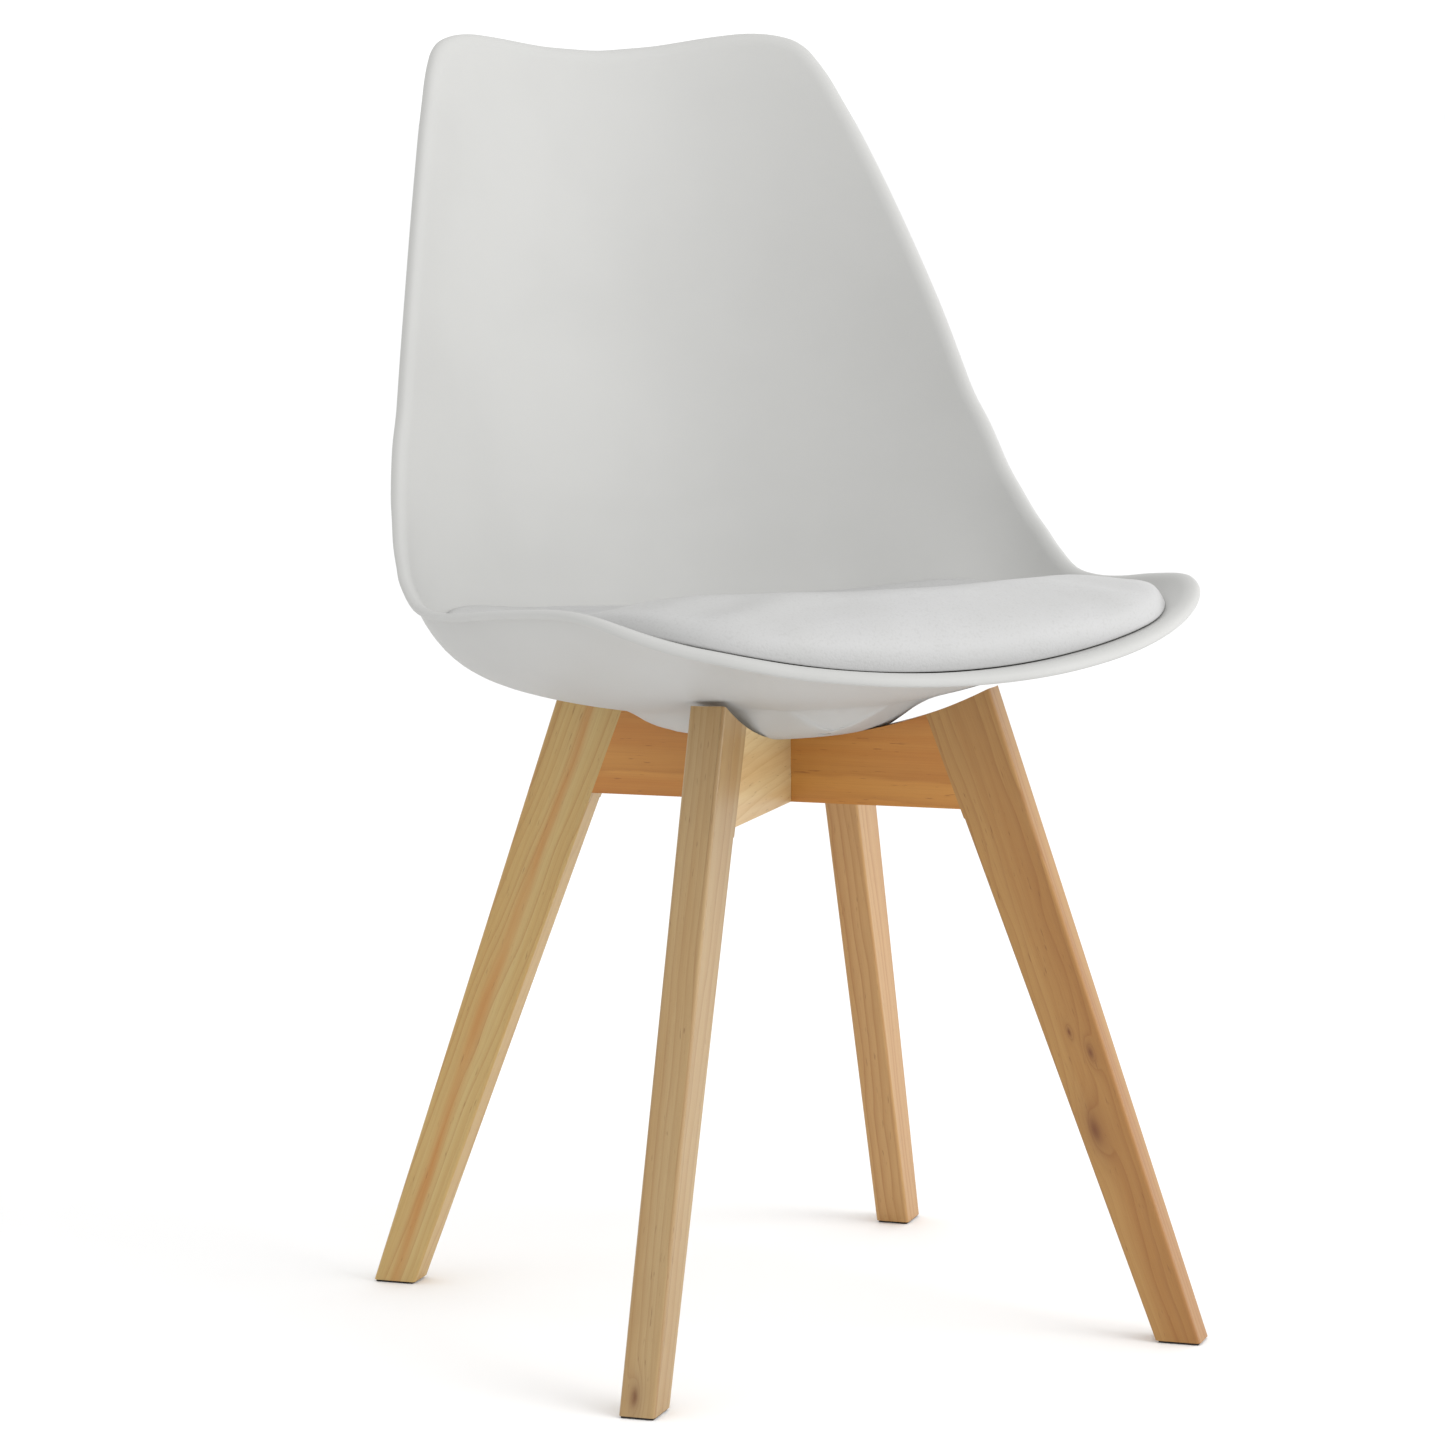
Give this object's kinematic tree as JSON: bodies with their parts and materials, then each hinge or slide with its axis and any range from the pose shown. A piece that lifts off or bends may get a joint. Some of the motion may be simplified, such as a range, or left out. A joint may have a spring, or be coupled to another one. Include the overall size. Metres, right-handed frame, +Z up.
{
  "type": "dining chair",
  "caption": "Armless dining chair: moulded shell seat and back with a fitted seat cushion, on a crossed base of splayed, tapered wooden legs.",
  "frame": {"origin": "on the floor, in the middle of the chair's bounding box", "axes": "+Z up, front of the chair faces -Y, +X to the right seen from the front camera's side (azimuth 0)"},
  "size_m": [0.4802, 0.526, 0.82],
  "materials": {
    "shell": "satin",
    "cover": "soft matte, fine grain",
    "foam": "open-cell foam",
    "board": "plain",
    "leg_wood": "clear satin varnish",
    "rail_wood": "clear satin varnish",
    "dowel_wood": "raw",
    "steel": "zinc plated",
    "brass": "plain",
    "glide": "matt"
  },
  "bodies": {
    "root": {"seat_shell": "shell", "shell_inserts": "brass", "cushion_board": "board", "cushion_foam": "foam", "cushion_cover": "cover", "cushion_screws": "steel", "rail_lower": "rail_wood", "rail_upper": "rail_wood", "leg_front_left": "leg_wood", "leg_front_right": "leg_wood", "leg_rear_left": "leg_wood", "leg_rear_right": "leg_wood", "leg_dowels": "dowel_wood", "base_bolts": "steel", "base_washers": "steel", "glide_front_left": "glide", "glide_front_right": "glide", "glide_rear_left": "glide", "glide_rear_right": "glide"}
  },
  "joints": []
}
